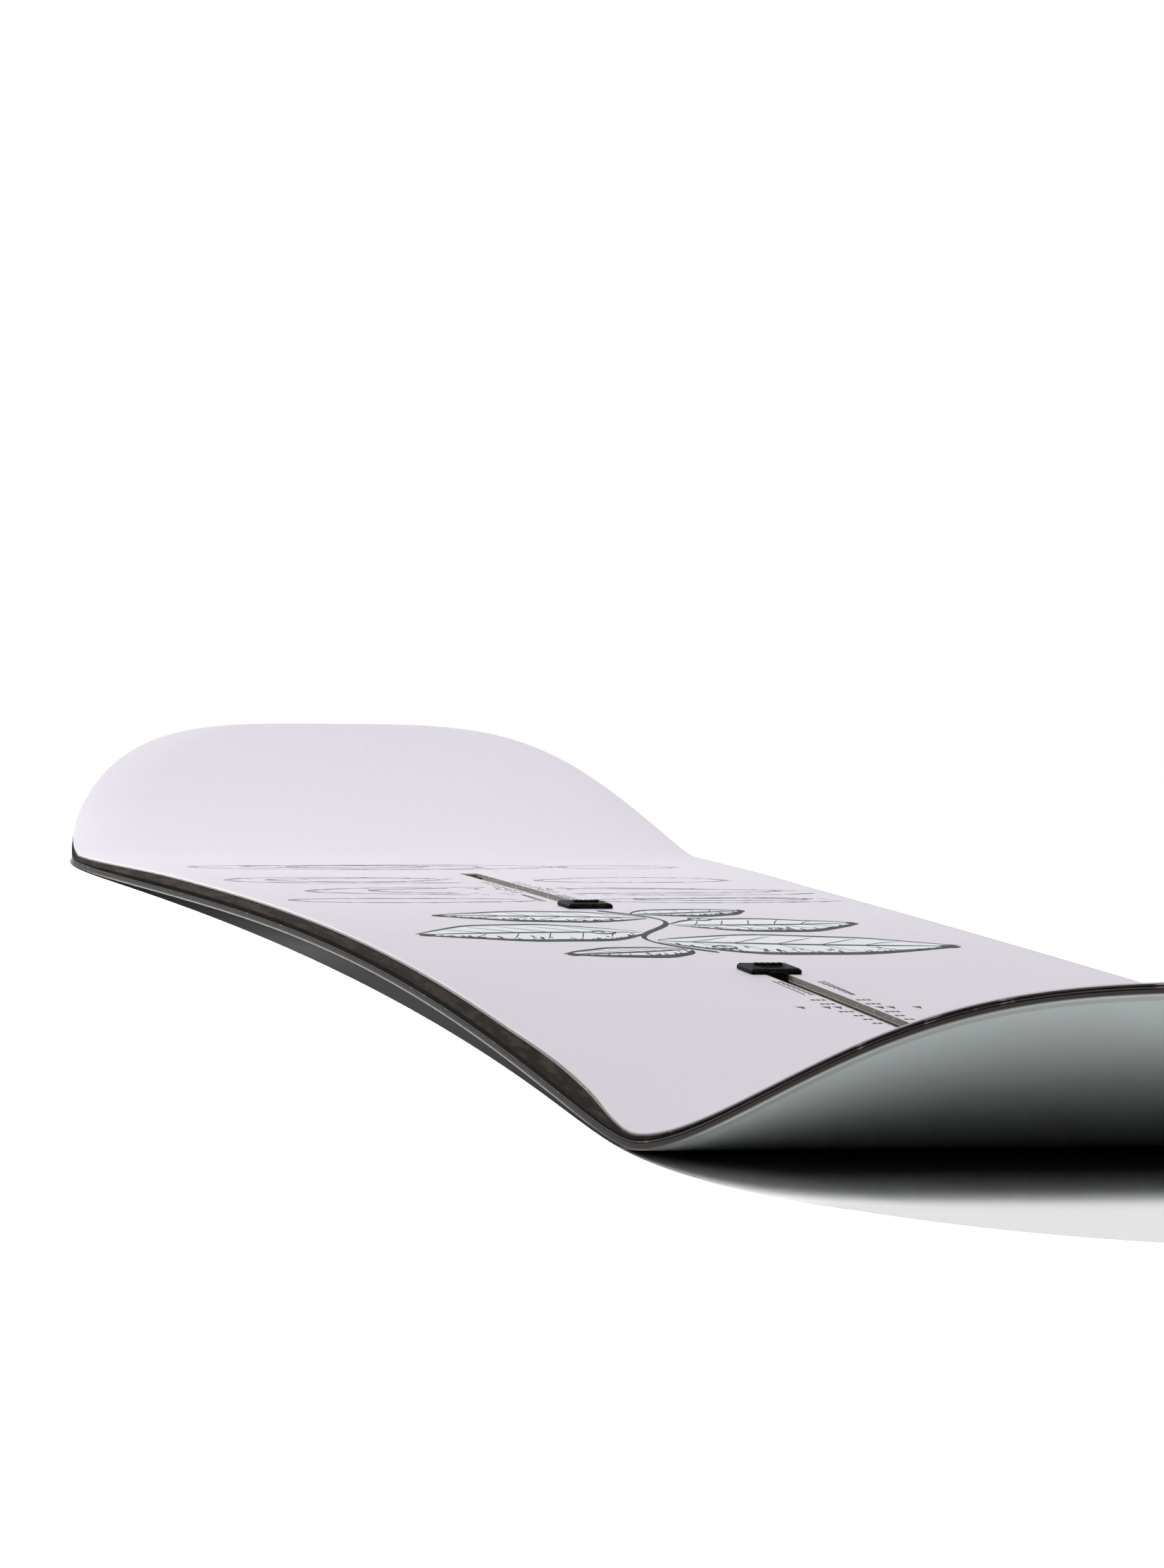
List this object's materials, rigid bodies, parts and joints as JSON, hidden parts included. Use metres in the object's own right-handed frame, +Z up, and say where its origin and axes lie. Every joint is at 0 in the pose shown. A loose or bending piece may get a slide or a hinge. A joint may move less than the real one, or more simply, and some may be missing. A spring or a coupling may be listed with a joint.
{
  "type": "snowboard",
  "caption": "All-mountain snowboard with raised tips, camber, steel edges, a layered wood-core deck and slotted binding channels whose inner ends hold lift-out plugs.",
  "frame": {"origin": "on the ground, below the middle of the board's length and width", "axes": "+X along the board towards the tail, +Y across it, +Z up from the base to the topsheet"},
  "size_m": [1.48, 0.3014, 0.0606],
  "materials": {
    "base": "pale grey-green sintered polyethylene base, smooth, with a satin sheen",
    "steel_edge": "ground steel with fine scratches along the edge",
    "rubber": "thin dull black strip",
    "fibreglass": "resin-bound glass cloth, satin at its cut edge",
    "wood": "bare light hardwood, grain along the board",
    "sidewall": "dark brown-black plastic, milled, slightly mottled",
    "channel_rail": "grey-brown glass-filled nylon with fine lengthwise ribs",
    "plug": "black moulded plastic with a fine grain",
    "topsheet": "pale lilac-grey satin sheet with a very fine speckle"
  },
  "bodies": {
    "board": {"base_sheet": "base", "steel_edge_left": "steel_edge", "steel_edge_right": "steel_edge", "edge_rubber_left": "rubber", "edge_rubber_right": "rubber", "lower_laminate": "fibreglass", "core_center_nose": "wood", "core_center_middle": "wood", "core_center_tail": "wood", "core_left_inner": "wood", "core_left_middle": "wood", "core_left_outer": "wood", "core_right_inner": "wood", "core_right_middle": "wood", "core_right_outer": "wood", "sidewall_left": "sidewall", "sidewall_right": "sidewall", "nose_spacer": "sidewall", "tail_spacer": "sidewall", "front_channel": "channel_rail", "rear_channel": "channel_rail", "front_channel_end_stop": "plug", "rear_channel_end_stop": "plug", "upper_laminate": "fibreglass", "topsheet": "topsheet"},
    "front_plug": {"front_plug": "plug"},
    "rear_plug": {"rear_plug": "plug"}
  },
  "joints": [
    {"name": "front_plug_lift", "type": "slide", "parent": "board", "child": "front_plug", "axis": [-0.0086, 0, 1], "range_m": [0, 0.03]},
    {"name": "rear_plug_lift", "type": "slide", "parent": "board", "child": "rear_plug", "axis": [0.0096, 0, 1], "range_m": [0, 0.03]}
  ]
}
